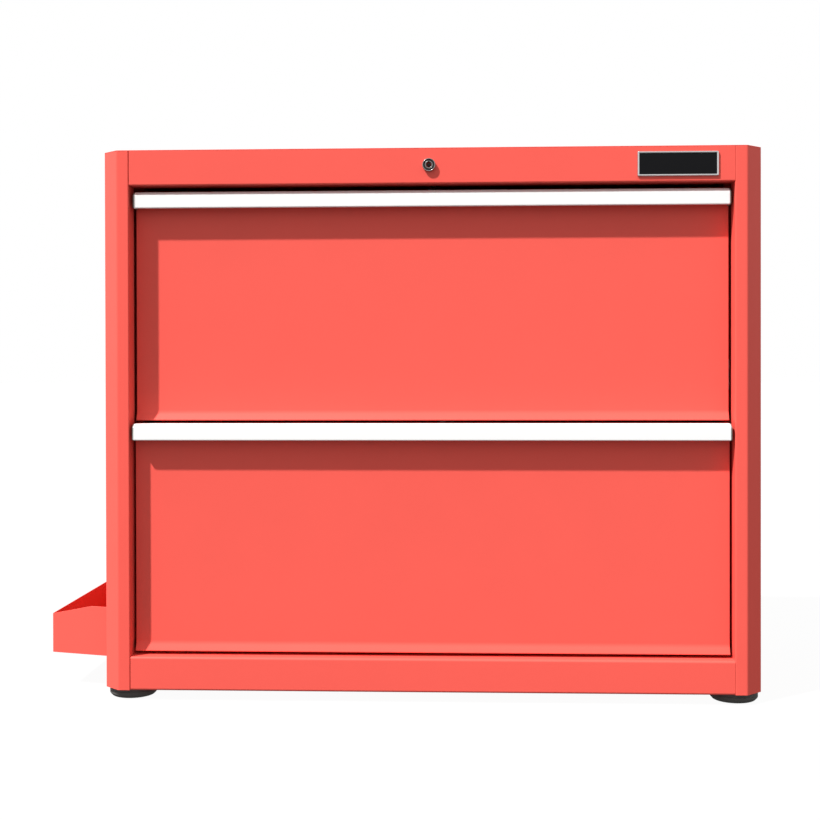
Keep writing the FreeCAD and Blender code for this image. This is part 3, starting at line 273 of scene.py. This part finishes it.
def settle(made, body, nodes, edge=0.25, angle=32):
    """Rounds the cut edges by edge millimetres where faces meet at more than angle degrees, keeps flat
    faces flat, ties the piece to its body and hides the CAD nodes that it stands for."""
    if edge:
        cut = made.modifiers.new("cut_edges", "BEVEL")
        cut.width = edge * 0.001
        cut.segments = 2
        cut.limit_method = "ANGLE"
        cut.angle_limit = math.radians(angle)
        cut.use_clamp_overlap = False
    flat = made.modifiers.new("flat_faces", "WEIGHTED_NORMAL")
    flat.keep_sharp = True
    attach(made, body)
    if nodes:
        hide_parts(*nodes)
    return made


red_coat = coating(
    "red_coat", (0.875, 0.111, 0.086), 0, 0.4, 0.05, 900, 0.000012, 0.03, peel=0.00003, mirror=0.16
)
half_width, front, back, foot, crown, wall = 455, -240, 240, 15, 763, 1.2
opening, flank_end, flange_end = 416, -210, 437
slant_front, slant_side = 432.5, -219
within = half_width - wall
for name, hand in (("left", -1), ("right", 1)):
    plan = rounded(
        [
            (flange_end, back),
            (half_width, back, 1.2),
            (half_width, slant_side, 4.2),
            (slant_front, front, 5),
            (opening, front, 1.5),
            (opening, flank_end),
            (opening + wall, flank_end),
            (opening + wall, front + wall, 0.4),
            (slant_front - 0.5, front + wall, 3.8),
            (within, slant_side + 0.5, 3),
            (within, back - wall),
            (flange_end, back - wall),
        ]
    )
    panel = drawn(f"{name}_side", [(plan * (hand, 1), foot, crown - wall)], 2, red_coat)
    settle(panel, "cabinet", [f"{name}_side_panel"])


# Top, bottom and back sheets of the same coated steel: the top closes the outline of the side
# panels, the bottom lies between them behind the posts, and the back is welded inside the flanges.
def rectangle(x, y, inset=0, corner=0, steps=6):
    """Points of a rectangle between the two values of x and those of y, drawn in by inset on every
    side, its corners rounded to the radius corner."""
    left_end, right_end = x[0] + inset, x[1] - inset
    low_end, high_end = y[0] + inset, y[1] - inset
    return rounded(
        [
            (left_end, low_end, corner),
            (right_end, low_end, corner),
            (right_end, high_end, corner),
            (left_end, high_end, corner),
        ],
        steps,
    )


top_plan = rounded(
    [
        (-half_width, back, 0.8),
        (half_width, back, 0.8),
        (half_width, slant_side, 4.2),
        (slant_front, front, 5),
        (-slant_front, front, 5),
        (-half_width, slant_side, 4.2),
    ]
)
top_sheet = drawn("top_sheet", [(top_plan, crown - wall, crown)], 2, red_coat)
settle(top_sheet, "cabinet", ["top_panel"], 0.4)
back_inside = back - 2 * wall
bottom_plan = rectangle((-within, within), (flank_end, back_inside))
bottom_sheet = drawn("bottom_sheet", [(bottom_plan, foot, foot + wall)], 2, red_coat)
settle(bottom_sheet, "cabinet", ["bottom_panel"])
back_plan = rectangle((-within, within), (back_inside, back - wall))
back_sheet = drawn("back_sheet", [(back_plan, foot, crown - wall)], 2, red_coat)
settle(back_sheet, "cabinet", ["back_panel"])


# Spot welds: marks of the welding tips that show through the coat as shallow raised rings, one above
# the other where the uprights meet the side panels and where the back meets the flanges.
def turned(profile, centre, axis, steps=96, closed=True, start=0):
    """A profile of (radius, height) points turned round an axis through centre: radius times
    (cos t, sin t) across the axis and height along it, with t in equal steps. Closed joins the last
    point of the profile to the first; the points are numbered on from start."""
    profile = np.asarray(profile, float)
    t = np.linspace(0, 2 * math.pi, steps, endpoint=False)
    across = [k for k in range(3) if k != axis]
    points = np.zeros((len(profile), steps, 3))
    points[..., across] = profile[:, None, :1] * np.stack([np.cos(t), np.sin(t)], 1)
    points[..., axis] = profile[:, 1:]
    return points + centre, wrapped(len(profile), steps, closed, start).tolist()


weld_profile = np.array([(0, 0.02), (2.2, 0.04), (3, 0.3), (3.7, 0.28), (4.3, -0.1), (4.3, -0.3), (0, -0.3)])
weld_steps = 20
first_weld, weld_gap = 45, 96
upright_middles = (-136, 164)
flange_middle = (flange_end + half_width) / 2
welds = []
for z in np.arange(first_weld, crown - 20, weld_gap):
    welds += [(0, hand, (hand * half_width, y, z)) for hand in (-1, 1) for y in upright_middles]
    welds += [(1, 1, (x, back - wall, z)) for x in (-flange_middle, flange_middle)]
points, faces = [], []
for axis, hand, centre in welds:
    count = len(points) * len(weld_profile) * weld_steps
    ring, skin = turned(weld_profile * (1, hand), centre, axis, weld_steps, False, count)
    points.append(ring)
    faces += skin
spots = shape("spot_welds", np.array(points), faces, red_coat)
settle(spots, "cabinet", [], 0)


# Front rails: channels of the same sheet between the posts, folded back at the edge of the drawers'
# opening and left open behind.
rail_ends = (-415.3, opening)
top_rail_edge, bottom_rail_edge = 714.4, 61.6
top_section = rounded(
    [
        (flank_end, top_rail_edge),
        (front, top_rail_edge, 1.6),
        (front, crown - wall),
        (flank_end, crown - wall),
        (flank_end, crown - 2 * wall),
        (front + wall, crown - 2 * wall),
        (front + wall, top_rail_edge + wall, 0.4),
        (flank_end, top_rail_edge + wall),
    ]
)
top_rail = drawn("top_front_rail", [(top_section, *rail_ends)], 0, red_coat)
settle(top_rail, "cabinet", ["top_rail"])
bottom_section = rounded(
    [
        (flank_end, bottom_rail_edge),
        (front, bottom_rail_edge, 3.4),
        (front, foot, 3.2),
        (flank_end, foot),
        (flank_end, foot + wall),
        (front + wall, foot + wall, 2),
        (front + wall, bottom_rail_edge - wall, 2.2),
        (flank_end, bottom_rail_edge - wall),
    ]
)
bottom_rail = drawn("bottom_front_rail", [(bottom_section, *rail_ends)], 0, red_coat)
settle(bottom_rail, "cabinet", ["bottom_rail"])


# Uprights: channels of thicker coated steel, two inside each side panel and open towards it. The
# slides are screwed to them.
upright_half, upright_wall = 20, 1.5
for name, hand in (("left", -1), ("right", 1)):
    channels = []
    for middle in upright_middles:
        start, end = middle - upright_half, middle + upright_half
        plan = rounded(
            [
                (opening, start, 1.5),
                (opening, end, 1.5),
                (within, end),
                (within, end - upright_wall),
                (opening + upright_wall, end - upright_wall),
                (opening + upright_wall, start + upright_wall),
                (within, start + upright_wall),
                (within, start),
            ],
            4,
        )
        channels.append((plan * (hand, 1), foot + wall, crown - wall))
    pair = drawn(f"{name}_channels", channels, 2, red_coat)
    settle(pair, "cabinet", [f"{name}_uprights"])


# Ball bearing slides: three nested channels of zinc plated steel on each side of a drawer, with
# drawing lines along their length. For each, the place of its web inward of the upright, the width
# of its lips, half its height, and which way the lips point.
zinc = coating(
    "zinc_plate", (0.6, 0.615, 0.63), 1, 0.34, 0.09, 700, 0.000008, 0.07, stretch=(1, 0.03, 1)
)
members = {"cabinet": (0, 9.5, 22.5, 1), "middle": (3.2, 7.8, 18.6, 1), "drawer": (12.7, 7.1, 14.4, -1)}
steel = 1.2


def slide_members(drawer):
    """The six channels of one drawer: each outline is a web with two lips, drawn along the slide
    between the ends of its CAD node."""
    carriers = {"cabinet": "cabinet", "middle": f"{drawer}_middle_slides", "drawer": f"{drawer}_drawer"}
    for kind, (web, lip, half, way) in members.items():
        for name, hand in (("left", -1), ("right", 1)):
            label = f"{drawer}_{name}_{kind}_slide"
            low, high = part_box(label)
            middle = (low[2] + high[2]) * 500
            tip, inside = web + way * lip, web + way * steel
            section = rounded(
                [
                    (web, -half, 2.2),
                    (tip, -half, 0.3),
                    (tip, -half + steel, 0.3),
                    (inside, -half + steel, 1),
                    (inside, half - steel, 1),
                    (tip, half - steel, 0.3),
                    (tip, half, 0.3),
                    (web, half, 2.2),
                ],
                4,
            )
            section = section * (-hand, 1) + (hand * opening, middle)
            member = drawn(f"{label}_member", [(section, low[1] * 1000, high[1] * 1000)], 1, zinc)
            settle(member, carriers[kind], [label], 0.15)


# Ball cages: strips of black plastic that run between the lips of two channels, and the polished
# steel balls in them, 8 mm apart.
cage_black = coating("cage_plastic", (0.02, 0.02, 0.022), 0, 0.5, 0.06, 1200, 0.00001, 0.1)
ball_steel = coating("ball_steel", (0.75, 0.76, 0.77), 1, 0.12, 0.03, 500, 0.000001, 0.03)
strip_half, strip_thick, ball_radius, ball_gap = 2.2, 1.1, 1.04, 8
room_half = 1.05
round_ball = bmesh.new()
bmesh.ops.create_icosphere(round_ball, subdivisions=2, radius=ball_radius)
round_ball.verts.ensure_lookup_table()
ball_points = np.array([corner.co for corner in round_ball.verts])
ball_faces = np.array([[corner.index for corner in face.verts] for face in round_ball.faces])
round_ball.free()


def ball_cages(drawer):
    """The cages of one drawer: two strips on each side, at the top and the bottom of the space that
    the CAD node takes, and one ball for every ball_gap of their length."""
    for ring in ("outer", "inner"):
        label = f"{drawer}_{ring}_ball_cages"
        low, high = np.array(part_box(label)) * 1000
        side = high[0] - strip_half
        strips, centres = [], []
        for x in (-side, side):
            for z in (low[2] + room_half, high[2] - room_half):
                outline = rectangle(
                    (x - strip_half, x + strip_half), (z - strip_thick / 2, z + strip_thick / 2)
                )
                strips.append((outline, low[1], high[1]))
                places = np.arange(low[1] + ball_gap / 2, high[1] - 3, ball_gap)
                centres.append(np.stack([np.full_like(places, x), places, np.full_like(places, z)], 1))
        cage = drawn(f"{label}_strips", strips, 1, cage_black)
        settle(cage, f"{drawer}_{ring}_cages", [label], 0.12)
        centres = np.concatenate(centres)
        points = centres[:, None] + ball_points
        faces = ball_faces + np.arange(len(centres))[:, None, None] * len(ball_points)
        balls = shape(f"{label}_balls", points, faces.reshape(-1, 3).tolist(), ball_steel)
        settle(balls, f"{drawer}_{ring}_cages", [], 0)


for drawer in ("lower", "upper"):
    slide_members(drawer)
    ball_cages(drawer)


# Drawer boxes: trays of coated sheet with rounded folds at the floor, welded corners, and the top
# edge rolled inwards into a hem.
def vessel(rings, corner, x, y):
    """Rounded rectangles between the sides x and y, one for each (inset, z), joined from ring to ring;
    a corner's radius is corner less inset. The first and the last ring are filled."""
    stack = [
        np.insert(rectangle(x, y, inset, max(corner - inset, 0.3), 5), 2, z, 1) for inset, z in rings
    ]
    return np.concatenate(stack), capped(len(stack), len(stack[0]))


sheet, fold, hem_depth = 1, 1.2, 9
quarter = np.radians(np.linspace(0, 90, 5))
for drawer in ("lower", "upper"):
    label = f"{drawer}_drawer_box"
    low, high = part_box(label)
    x, y, (base, rim) = [(low[k] * 1000, high[k] * 1000) for k in range(3)]
    outer = fold + sheet
    outer_fold = np.stack([outer * (1 - np.sin(quarter)), base + outer * (1 - np.cos(quarter))], 1)
    hem = np.stack([sheet * (1 - np.cos(2 * quarter)), rim - sheet + sheet * np.sin(2 * quarter)], 1)
    hem_end = rim - hem_depth
    hem_lip = [(2 * sheet, hem_end + 0.3), (2 * sheet - 0.2, hem_end), (sheet, hem_end)]
    inner_fold = np.stack(
        [sheet + fold * (1 - np.sin(quarter)), base + sheet + fold * (1 - np.cos(quarter))], 1
    )
    rings = np.concatenate([outer_fold, hem, hem_lip, inner_fold[::-1]])
    box = shape(f"{label}_tray", *vessel(rings, 3, x, y), red_coat)
    settle(box, f"{drawer}_drawer", [label], 0)


# Drawer fronts: each a folded sheet with a slanted lip along its foot, a return along its head and
# a flange at each end. They are bolted to the boxes.
front_half, lip_out, lip_rise, return_depth, lip_depth = 412, 5.5, 11, 14, 10
for drawer in ("lower", "upper"):
    label = f"{drawer}_drawer_front"
    low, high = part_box(label)
    face, sill, head = low[1] * 1000 + lip_out, low[2] * 1000, high[2] * 1000
    underside = sill - 0.8
    section = rounded(
        [
            (face + return_depth, head),
            (face, head, 1.2),
            (face, sill + lip_rise, 14),
            (face - lip_out, underside, 1.2),
            (face + lip_depth, underside),
            (face + lip_depth, underside + wall),
            (face - 3.65, underside + wall),
            (face + wall, sill + 10.717, 12.8),
            (face + wall, head - wall),
            (face + return_depth, head - wall),
        ]
    )
    flange = rectangle((face + 0.9, face + 11), (sill + 14, head - 0.6))
    folded = [
        (section, -front_half, front_half),
        (flange, -front_half, wall - front_half),
        (flange, front_half - wall, front_half),
    ]
    front_panel = drawn(f"{label}_panel", folded, 0, red_coat)
    settle(front_panel, f"{drawer}_drawer", [label], 0.35)


# Handles: extruded aluminium strips with a satin white finish and fine lines along their length, a
# bevel along the top edge, and moulded grey caps on their open ends.
handle_coat = coating(
    "handle_coat", (0.9, 0.9, 0.89), 0, 0.36, 0.05, 1400, 0.000004, 0.012, mirror=0.4, stretch=(0.02, 1, 1)
)
cap_grey = coating("cap_plastic", (0.2, 0.195, 0.175), 0, 0.45, 0.06, 1500, 0.00001, 0.05)
strip_end, cap_thick, metal = 409.8, 1.8, 2
nose, bevel_foot, bevel_depth, tall, deep, hook = -1.3, 18.5, 6, 23, 19.5, 11
for drawer in ("lower", "upper"):
    low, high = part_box(f"{drawer}_handle")
    corner = (low[1] * 1000, low[2] * 1000)
    section = rounded(
        [
            (nose, 0, 1.6),
            (nose, bevel_foot, 1.6),
            (bevel_depth, tall, 1.6),
            (deep, tall, 0.3),
            (deep, hook, 0.3),
            (deep - metal, hook, 0.3),
            (deep - metal, tall - metal, 0.5),
            (bevel_depth + 0.566, tall - metal, 0.5),
            (nose + metal, bevel_foot - 1.116, 0.5),
            (nose + metal, metal, 0.9),
            (3.2, metal, 0.9),
            (3.2, 0, 0.9),
        ],
        5,
    )
    strip = drawn(f"{drawer}_handle_strip", [(section + corner, -strip_end, strip_end)], 0, handle_coat)
    settle(strip, f"{drawer}_drawer", [f"{drawer}_handle"], 0.1)
    outline = rounded(
        [(-1, 0, 1.8), (-1, bevel_foot, 1.8), (bevel_depth, tall, 1.8), (deep, tall, 0.6), (deep, 0, 0.6)], 5
    )
    for name, hand in (("left", -1), ("right", 1)):
        label = f"{drawer}_{name}_handle_cap"
        ends = (hand * strip_end, hand * (strip_end + cap_thick))
        cap = drawn(f"{label}_plate", [(outline + corner, *ends)], 0, cap_grey)
        settle(cap, f"{drawer}_drawer", [label], 0.5, 40)


# Feet: moulded rubber pads with a rounded rim and a shallow groove round them, each bolted to the
# bottom sheet through a hole with a recess for the bolt's head.
rubber = coating("foot_rubber", (0.085, 0.08, 0.075), 0, 0.55, 0.08, 600, 0.00004, 0.12, mirror=0.45)
hole, recess, recess_top, pad_radius = 5.3, 9.3, 7, 33
pad = rounded(
    [
        (hole, recess_top),
        (recess, recess_top),
        (recess, 0, 0.6),
        (29, 0, 4),
        (pad_radius, 4.5, 3),
        (pad_radius, 8.4, 0.3),
        (pad_radius - 0.5, 8.7, 0.2),
        (pad_radius - 0.5, 9.3, 0.2),
        (pad_radius, 9.6, 0.3),
        (32, foot, 0.8),
        (hole, foot),
    ],
    4,
)
for name in ("front_left", "rear_left", "front_right", "rear_right"):
    low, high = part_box(f"{name}_foot")
    centre = (np.array(low) + np.array(high)) * (500, 500, 0)
    foot_pad = shape(f"{name}_foot_pad", *turned(pad, centre, 2), rubber)
    settle(foot_pad, "cabinet", [f"{name}_foot"], 0)


# Lock head: the polished ring of a tubular cam lock on its barrel in the top rail, with a near-black fill in
# the groove round the plug that is painted shade. Profiles are (radius, distance behind the front).
ring_metal = coating("ring_metal", (0.36, 0.35, 0.34), 1, 0.24, 0.05, 800, 0.000003, 0.05)
low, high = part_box("lock_housing")
centre = ((low[0] + high[0]) * 500, front, (low[2] + high[2]) * 500)
bore, barrel, head_radius, barrel_end, groove_floor = 5.55, 8, 9, 22, -3
ring = rounded(
    [
        (bore, barrel_end),
        (bore, groove_floor, 0.2),
        (7.5, groove_floor, 0.1),
        (7.9, -5, 0.2),
        (8.6, -5, 0.3),
        (head_radius, -4.3, 0.3),
        (head_radius, 0),
        (barrel, 0),
        (barrel, barrel_end),
    ],
    4,
)
lock_head = shape("lock_head_ring", *turned(ring, centre, 1), ring_metal)
settle(lock_head, "cabinet", ["lock_housing"], 0)
# The groove's fill and the plug's keyway get this near-black colour: painted shade in the hollows.
groove_shade_black = coating("lock_groove_painted_shade", (0.02, 0.018, 0.018), 0, 0.35, 0.05, 900, 0.000006, 0.1, mirror=0.2)
fill = rounded([(5.6, groove_floor), (5.6, -4.1, 0.3), (7.6, -4.4, 0.3), (7.55, groove_floor)], 4)
groove = shape("lock_head_groove_shade", *turned(fill, centre, 1), groove_shade_black)
settle(groove, "cabinet", [], 0)


# Lock plug: the steel cylinder that the key turns, with a pin in the middle and a round keyway that
# a notch widens at the top.
plug_dark = coating("plug_steel", (0.27, 0.265, 0.26), 1, 0.32, 0.06, 1100, 0.000005, 0.1)
steps = 96
notch_half, notch_depth = 12, 0.75
profile = np.array(
    [
        (0.02, -2.5),
        (2.1, -2.5),
        (2.4, -2.2),
        (2.4, 1.5),
        (4, 1.5),
        (4, -4.3),
        (4.2, -4.5),
        (5.2, -4.5),
        (5.45, -4.25),
        (5.45, 26),
        (0.02, 26),
    ]
)
keyway_wall = slice(4, 7)
keyway_end = 5
t = np.linspace(0, 2 * math.pi, steps, endpoint=False)
radius = np.repeat(profile[:, :1], steps, 1)
radius[keyway_wall] += np.where(np.abs(np.degrees(t) - 90) < notch_half, notch_depth, 0)
behind = np.repeat(profile[:, 1:], steps, 1)
points = np.stack([radius * np.cos(t), behind, radius * np.sin(t)], 2) + centre
lock_plug = shape("lock_plug_face", points, capped(len(profile), steps), plug_dark)
# The keyway's walls and floor and the sunk pin face take the near-black colour, as painted shade.
lock_plug.data.materials.append(groove_shade_black)
keyway_shade_faces = np.repeat(np.arange(len(profile) - 1) < keyway_end, steps)
lock_plug.data.polygons.foreach_set("material_index", np.append(keyway_shade_faces, [True, False]).astype(np.int32))
settle(lock_plug, "lock_core", ["lock_plug"], 0)


# Badge: a bright metal frame with a chamfered rim, fixed to the top rail round a flat black plate.
# The rim is given as (distance inwards from its outline, height over the rail).
bright = coating("bright_ring", (0.62, 0.61, 0.61), 1, 0.22, 0.05, 800, 0.000003, 0.04)
field_black = coating("badge_field", (0.006, 0.006, 0.007), 0, 0.4, 0.05, 500, 0.000006, 0.1, mirror=0.08)
low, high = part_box("badge_frame")
leftwards, downwards, rim_width, plate_height = 1.4, 0.8, 3, 1.6
x = (low[0] * 1000 - leftwards, high[0] * 1000 - leftwards)
z = (low[2] * 1000 - downwards, high[2] * 1000 - downwards)
chamfered = [(0, 0), (0, 1.7), (0.5, 2.4), (1, 2.6), (1.9, 2.6), (2.5, 2.3), (rim_width, 1.5), (rim_width, 0)]
loops = [
    np.insert(rectangle(x, z, inset, max(1.5 - inset, 0.2), 4), 1, front - height, 1)
    for inset, height in chamfered
]
faces = wrapped(len(loops), len(loops[0]), closed=True).tolist()
badge = shape("badge_rim", np.concatenate(loops), faces, bright)
settle(badge, "cabinet", ["badge_frame"], 0)
field = drawn("badge_bare_field", [(rectangle(x, z, rim_width), front - plate_height, front)], 1, field_black)
settle(field, "cabinet", ["badge_plate"], 0.1)


# Side bin: an open tray of coated sheet, screwed to the left side, with slanting ends and an outer wall lower
# than the wall on the body. Its inside is coloured a darker red as painted shade, and is a little duller.
low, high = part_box("side_bin")
near, far, base = low[1] * 1000, high[1] * 1000, low[2] * 1000
outer_face, slant, bin_wall = -552, 27, 1
low_edge, edge_rise, edge_bend = 56, 14, -489
slope = slant / (-half_width - outer_face)
skew = math.hypot(1, slope)
outside = [
    (-half_width, near, 0),
    (outer_face, near + slant, 4),
    (outer_face, far - slant, 4),
    (-half_width, far, 0),
]
inside = [
    (-half_width - bin_wall, near + slope + skew, 0),
    (outer_face + bin_wall, near + slant - slope + skew, 3),
    (outer_face + bin_wall, far - slant + slope - skew, 3),
    (-half_width - bin_wall, far - slope - skew, 0),
]


def with_bends(corners):
    """A bin outline with one point more on each slanting end, at x = edge_bend on the straight line
    between the end's two corners: there its top edge starts to fall."""
    near_body, near_outer, far_outer, far_body = corners
    share = (edge_bend - near_body[0]) / (near_outer[0] - near_body[0])
    near_bend = (edge_bend, near_body[1] + (near_outer[1] - near_body[1]) * share, 0)
    far_bend = (edge_bend, far_body[1] + (far_outer[1] - far_body[1]) * share, 0)
    return rounded([near_body, near_bend, near_outer, far_outer, far_bend, far_body], 6)


def bin_edge(loop):
    """The height of the top edge over each point of an outline: low_edge over the floor of the bin at
    the outer face, rising evenly by edge_rise up to edge_bend and level from there to the body."""
    return base + low_edge + edge_rise * np.clip((loop[:, 0] - outer_face) / (edge_bend - outer_face), 0, 1)


outer_loop, inner_loop = with_bends(outside), with_bends(inside)
around = len(outer_loop)
rings = [
    np.column_stack([outer_loop, np.full(around, base)]),
    np.column_stack([outer_loop, bin_edge(outer_loop)]),
    np.column_stack([inner_loop, bin_edge(inner_loop)]),
    np.column_stack([inner_loop, np.full(around, base + bin_wall)]),
]
tray = shape("side_bin_tray", np.concatenate(rings), capped(len(rings), around), red_coat)
# The inside faces get a darker red: painted shade for the dimmer light inside the bin.
inside_painted_shade = coating("bin_inside_painted_shade", (0.6, 0.07, 0.05), 0, 0.5, 0.08, 600, 0.00002, 0.1, peel=0.00003, mirror=0.16)
tray.data.materials.append(inside_painted_shade)
inside_shade_mask = np.repeat([False, False, True], around)
tray.data.polygons.foreach_set("material_index", np.append(inside_shade_mask, [False, True]).astype(np.int32))
settle(tray, "cabinet", ["side_bin"], 0.3)


# Pieces that the CAD itself shows: screws, rivets, studs, catches, bolts and the lock's works, made
# of steel. They get the finish that their slot asks for and a fine rounding of their edges.
lock_steel = coating("lock_works", (0.45, 0.455, 0.46), 1, 0.36, 0.08, 900, 0.000008, 0.08)
finish_of = {"zinc_steel": zinc, "red_paint": red_coat, "foot_rubber": rubber, "lock_dark": lock_steel}
for part in frame["record"]["subparts"]:
    piece = node[part["node"]]
    if piece.hide_render:
        continue
    piece.data.materials.clear()
    piece.data.materials.append(finish_of.get(part["material_slot"], red_coat))
    piece.data.polygons.foreach_set("use_smooth", np.ones(len(piece.data.polygons), bool))
    weld = piece.modifiers.new("weld", "WELD")
    weld.merge_threshold = 0.00002
    edge = piece.modifiers.new("edge", "BEVEL")
    edge.width = 0.0002
    edge.segments = 2
    edge.limit_method = "ANGLE"
    edge.angle_limit = math.radians(40)
    edge.use_clamp_overlap = False
    flat = piece.modifiers.new("flat_faces", "WEIGHTED_NORMAL")
    flat.keep_sharp = True
